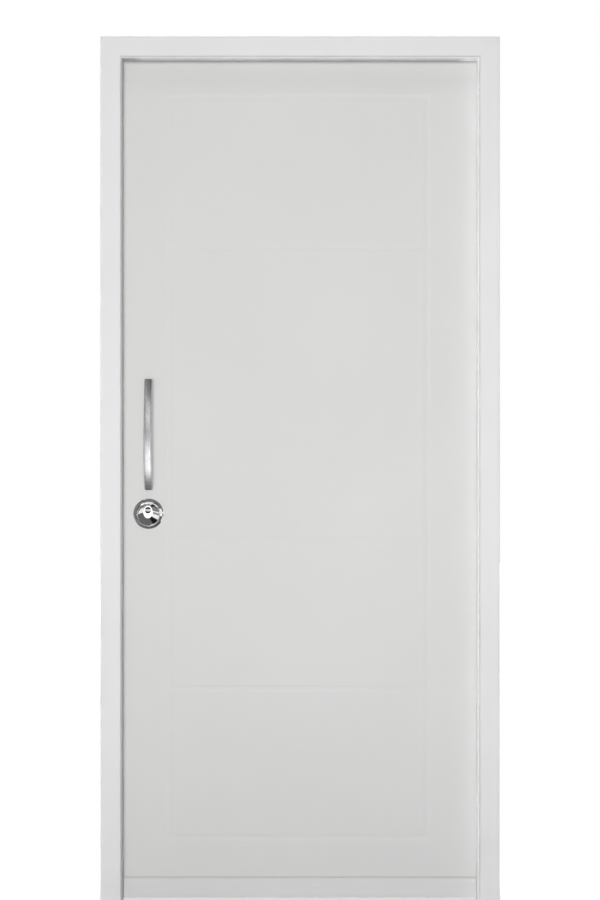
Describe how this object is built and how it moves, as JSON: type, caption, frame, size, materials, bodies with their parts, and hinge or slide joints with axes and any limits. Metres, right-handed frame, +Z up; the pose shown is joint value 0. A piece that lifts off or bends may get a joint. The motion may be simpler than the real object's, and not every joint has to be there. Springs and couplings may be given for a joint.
{
  "type": "security door",
  "caption": "Steel security door in a mitred frame: pressed-groove leaf on lift-off hinges, bowed pull handle, round lock escutcheon with a turning key plug, lever inside.",
  "frame": {"origin": "on the hinge jamb's wall face, at floor level, halfway through the frame's depth", "axes": "+X out of the hinge jamb's wall face, along the wall; +Y into the building; +Z up"},
  "size_m": [0.96, 0.157, 2.085],
  "materials": {
    "frame_paint": "satin powder coat",
    "leaf_paint": "satin powder coat",
    "strip_paint": "satin powder coat",
    "gasket_rubber": "matt",
    "handle_steel": "brushed",
    "lock_chrome": "polished",
    "plug_steel": "satin",
    "inside_steel": "brushed",
    "plated_steel": "zinc plated"
  },
  "bodies": {
    "frame": {"hinge_jamb": "frame_paint", "lock_jamb": "frame_paint", "head_jamb": "frame_paint", "lower_hinge_frame_half": "frame_paint", "middle_hinge_frame_half": "frame_paint", "upper_hinge_frame_half": "frame_paint", "hinge_jamb_gasket": "gasket_rubber", "lock_jamb_gasket": "gasket_rubber", "head_gasket": "gasket_rubber", "strike_plate": "plated_steel", "lower_hinge_pin": "plated_steel", "middle_hinge_pin": "plated_steel", "upper_hinge_pin": "plated_steel"},
    "leaf": {"outer_skin": "leaf_paint", "inner_skin": "leaf_paint", "lock_stile": "leaf_paint", "hinge_stile": "leaf_paint", "top_rail": "leaf_paint", "bottom_rail": "leaf_paint", "lower_hinge_leaf_half": "leaf_paint", "middle_hinge_leaf_half": "leaf_paint", "upper_hinge_leaf_half": "leaf_paint", "bottom_strip_outside": "strip_paint", "bottom_strip_inside": "strip_paint", "pull_handle_bow": "handle_steel", "pull_handle_upper_foot": "handle_steel", "pull_handle_lower_foot": "handle_steel", "lock_escutcheon": "lock_chrome", "inside_lock_rosette": "inside_steel", "thumb_turn": "inside_steel", "lever_rosette": "inside_steel", "inside_lever": "inside_steel", "lock_forend": "plated_steel", "dead_bolts": "plated_steel", "latch_bolt": "plated_steel", "dog_bolts": "plated_steel"},
    "key_plug": {"key_plug": "plug_steel"}
  },
  "joints": [
    {"name": "leaf_swing", "type": "hinge", "parent": "frame", "child": "leaf", "pos_m": [-0.041, 0.057, 0], "axis": [0, 0, -1], "range_deg": [0, 110]},
    {"name": "key_plug_turn", "type": "hinge", "parent": "leaf", "child": "key_plug", "pos_m": [-0.847, -0.0175, 0.946], "axis": [0, 1, 0], "continuous": true}
  ]
}
